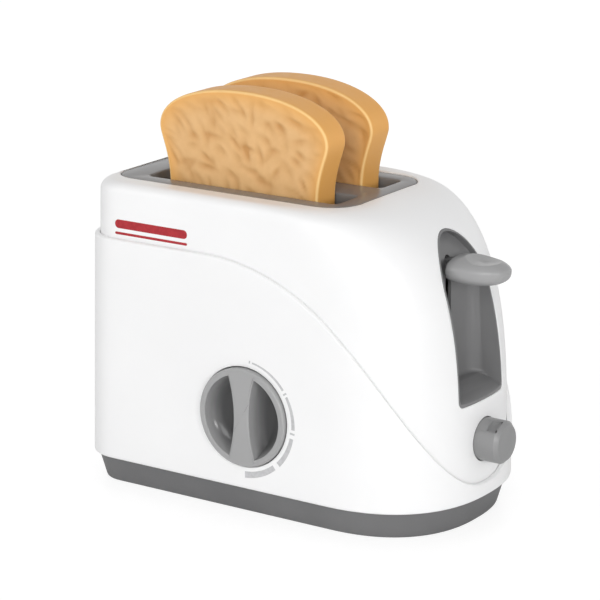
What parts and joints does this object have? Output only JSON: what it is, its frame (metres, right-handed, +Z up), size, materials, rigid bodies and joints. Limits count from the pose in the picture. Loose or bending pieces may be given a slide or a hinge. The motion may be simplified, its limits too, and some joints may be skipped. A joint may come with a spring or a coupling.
{
  "type": "toy toaster",
  "caption": "White toy pop-up toaster with grey slot plate, side lever, eject button and browning dial, and play bread slices that ride on a sprung carriage.",
  "frame": {"origin": "middle of the underside, on the table plane", "axes": "+X from the rear to the rounded nose with the lever, +Y across the slots away from the dial, +Z up"},
  "size_m": [0.1971, 0.1098, 0.1855],
  "materials": {
    "white_plastic": "satin moulded ABS",
    "grey_plastic": "satin moulded ABS",
    "dark_plastic": "fine matt moulded ABS",
    "black_plastic": "matt moulded polypropylene",
    "steel": "bright zinc plate",
    "bread_plastic": "matt moulded plastic with a crumb texture"
  },
  "bodies": {
    "housing": {"base_tray": "dark_plastic", "base_screws": "steel", "skirt_shell": "white_plastic", "upper_shell": "white_plastic", "slot_plate": "grey_plastic", "toast_chute": "black_plastic", "top_screws": "steel", "lever_channel": "grey_plastic", "channel_screws": "steel", "guide_rods": "steel", "lift_spring": "steel", "latch_bracket": "dark_plastic", "bracket_screws": "steel", "latch_pin": "steel", "latch_spring": "steel", "button_spring": "steel", "click_spring": "steel", "click_screw": "steel"},
    "carriage": {"carriage_frame": "dark_plastic", "toast_rack": "steel", "rack_screws": "steel", "lever_paddle": "grey_plastic", "catch_leaf": "steel", "leaf_screw": "steel"},
    "button": {"eject_button": "grey_plastic"},
    "latch": {"latch_lever": "dark_plastic"},
    "dial": {"dial_knob": "grey_plastic", "dial_shaft": "dark_plastic", "click_wheel": "grey_plastic", "dial_screw": "steel"},
    "near_slice": {"toast_near": "bread_plastic"},
    "far_slice": {"toast_far": "bread_plastic"}
  },
  "joints": [
    {"name": "lever_slide", "type": "slide", "parent": "housing", "child": "carriage", "axis": [0, 0, 1], "range_m": [-0.044, 0], "stiffness_N_per_m": 100, "springref_m": 0.06, "deforming": ["lift_spring", "catch_leaf"]},
    {"name": "near_slice_lift", "type": "slide", "parent": "carriage", "child": "near_slice", "axis": [0, 0, 1], "range_m": [0, 0.12]},
    {"name": "far_slice_lift", "type": "slide", "parent": "carriage", "child": "far_slice", "axis": [0, 0, 1], "range_m": [0, 0.12]},
    {"name": "eject_press", "type": "slide", "parent": "housing", "child": "button", "axis": [-1, 0, 0], "range_m": [0, 0.0035], "stiffness_N_per_m": 400, "springref_m": -0.002, "deforming": ["button_spring"]},
    {"name": "latch_release", "type": "hinge", "parent": "housing", "child": "latch", "pos_m": [0.0571, 0, 0.031], "axis": [0, -1, 0], "range_deg": [0, 26], "deforming": ["latch_spring"]},
    {"name": "dial_turn", "type": "hinge", "parent": "housing", "child": "dial", "pos_m": [-0.0007, -0.05, 0.046], "axis": [0, 1, 0], "range_deg": [0, 180], "deforming": ["click_spring"]}
  ],
  "couplings": [
    {"joint": "latch_release", "follows": "eject_press", "rad_per_m": 129.65}
  ]
}
